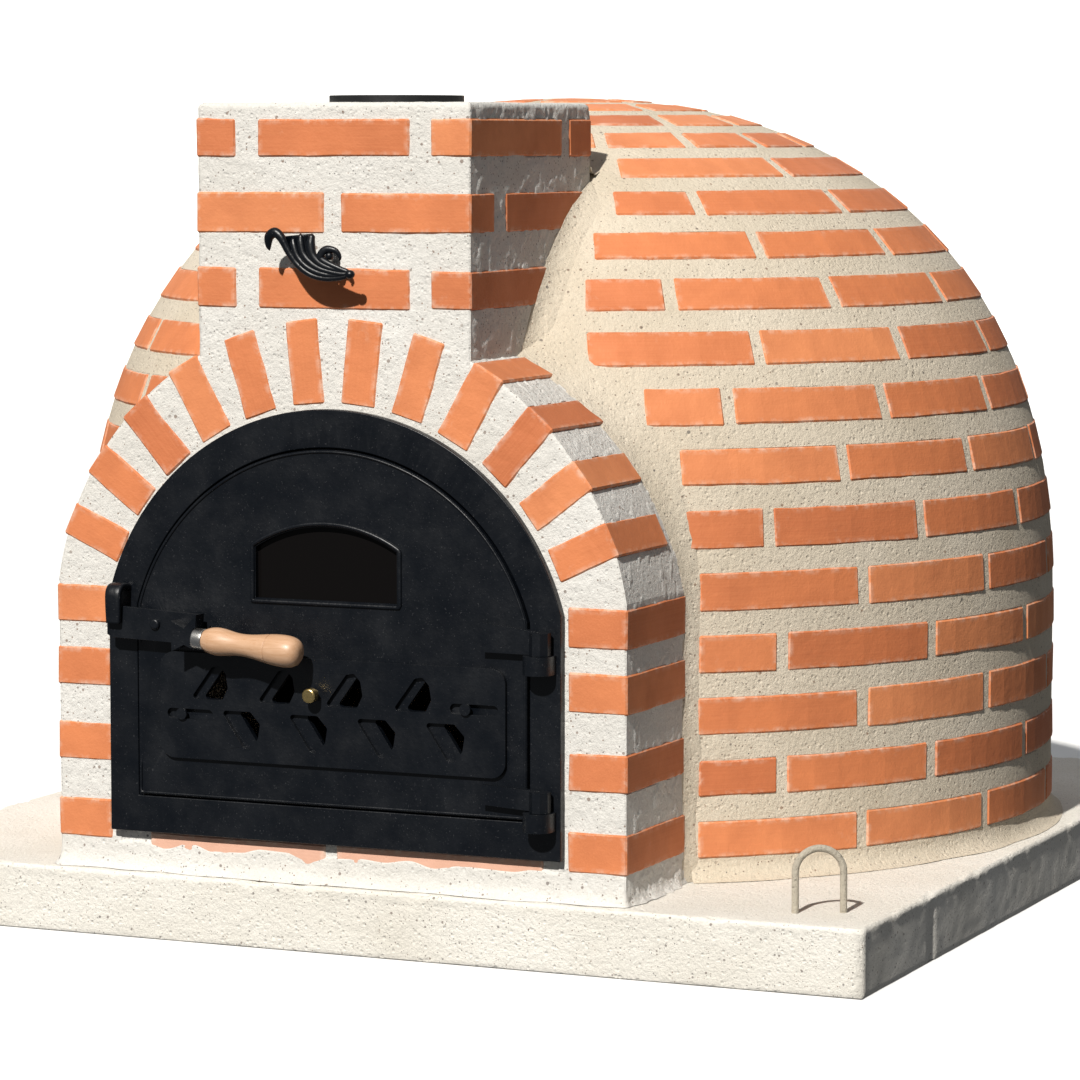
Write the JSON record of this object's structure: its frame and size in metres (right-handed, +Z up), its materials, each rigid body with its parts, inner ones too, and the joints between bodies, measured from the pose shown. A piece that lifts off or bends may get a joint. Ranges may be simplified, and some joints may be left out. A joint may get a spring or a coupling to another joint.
{
  "type": "wood fired pizza oven",
  "caption": "Brick-faced dome oven on a cast slab, with a brick arch, a hinged cast iron door with window, latch and air slide, and a short chimney with a damper.",
  "frame": {"origin": "middle of the underside of the base slab", "axes": "+Z up, the door faces -Y, +X to the right as seen by someone facing the door"},
  "size_m": [1.44, 1.5446, 1.092],
  "materials": {
    "concrete": "rough cast, open grit",
    "steel_bar": "cement splashed",
    "board": "matt",
    "firebrick": "matt",
    "refractory": "cast, matt",
    "blanket": "soft fibre",
    "dome_mortar": "rough, gritty",
    "face_mortar": "rough, pitted",
    "red_brick": "smooth fired clay",
    "pale_brick": "matt",
    "black_steel": "heatproof black, satin",
    "cast_black": "blackened, satin",
    "bright_steel": "satin",
    "heat_glass": "smoky, clear",
    "rope": "woven",
    "brass": "satin",
    "beech": "oiled"
  },
  "bodies": {
    "masonry": {"base_slab": "concrete", "lifting_loops": "steel_bar", "floor_insulation": "board", "hearth_tiles": "firebrick", "vault_front": "refractory", "vault_right": "refractory", "vault_back": "refractory", "vault_left": "refractory", "dome_insulation": "blanket", "dome_mortar_shell": "dome_mortar", "dome_head_joints": "dome_mortar", "dome_fillets": "dome_mortar", "dome_skirt": "dome_mortar", "dome_bricks_1": "red_brick", "dome_bricks_2": "red_brick", "dome_bricks_3": "red_brick", "dome_bricks_4": "red_brick", "dome_bricks_5": "red_brick", "dome_bricks_6": "red_brick", "crown_brick": "red_brick", "facade_core": "face_mortar", "column_bricks": "red_brick", "arch_bricks": "red_brick", "sill_bricks": "pale_brick", "chimney_core": "face_mortar", "chimney_bricks": "red_brick", "chimney_cap": "face_mortar", "flue_liner": "black_steel", "flue_collar": "black_steel", "damper_bushes": "black_steel", "door_frame": "cast_black", "hinge_knuckles": "cast_black", "frame_anchors": "black_steel", "hinge_pins": "bright_steel", "latch_keeper": "cast_black"},
    "door": {"door_leaf": "cast_black", "hinge_straps": "cast_black", "window_glass": "heat_glass", "window_retainer": "black_steel", "retainer_screws": "bright_steel", "rope_seal": "rope", "slider_screws": "cast_black", "latch_pivot": "cast_black"},
    "air_slide": {"slider_plate": "cast_black", "slider_knob": "brass"},
    "latch": {"latch_bar": "cast_black", "handle_bracket": "cast_black", "handle_ferrule": "bright_steel", "handle_tang": "bright_steel", "handle_grip": "beech"},
    "damper": {"damper_rod": "bright_steel", "damper_plate": "black_steel", "damper_handle": "cast_black"}
  },
  "joints": [
    {"name": "door_hinge", "type": "hinge", "parent": "masonry", "child": "door", "pos_m": [0.298, -0.749, 0.286], "axis": [0, 0, 1], "range_deg": [0, 120]},
    {"name": "air_slide_travel", "type": "slide", "parent": "door", "child": "air_slide", "axis": [-1, 0, 0], "range_m": [-0.014, 0.036]},
    {"name": "latch_pivot_turn", "type": "hinge", "parent": "door", "child": "latch", "pos_m": [-0.239, -0.753, 0.414], "axis": [0, -1, 0], "range_deg": [-6, 40]},
    {"name": "damper_turn", "type": "hinge", "parent": "masonry", "child": "damper", "pos_m": [0, -0.533, 0.882], "axis": [0, -1, 0], "range_deg": [0, 90]}
  ]
}
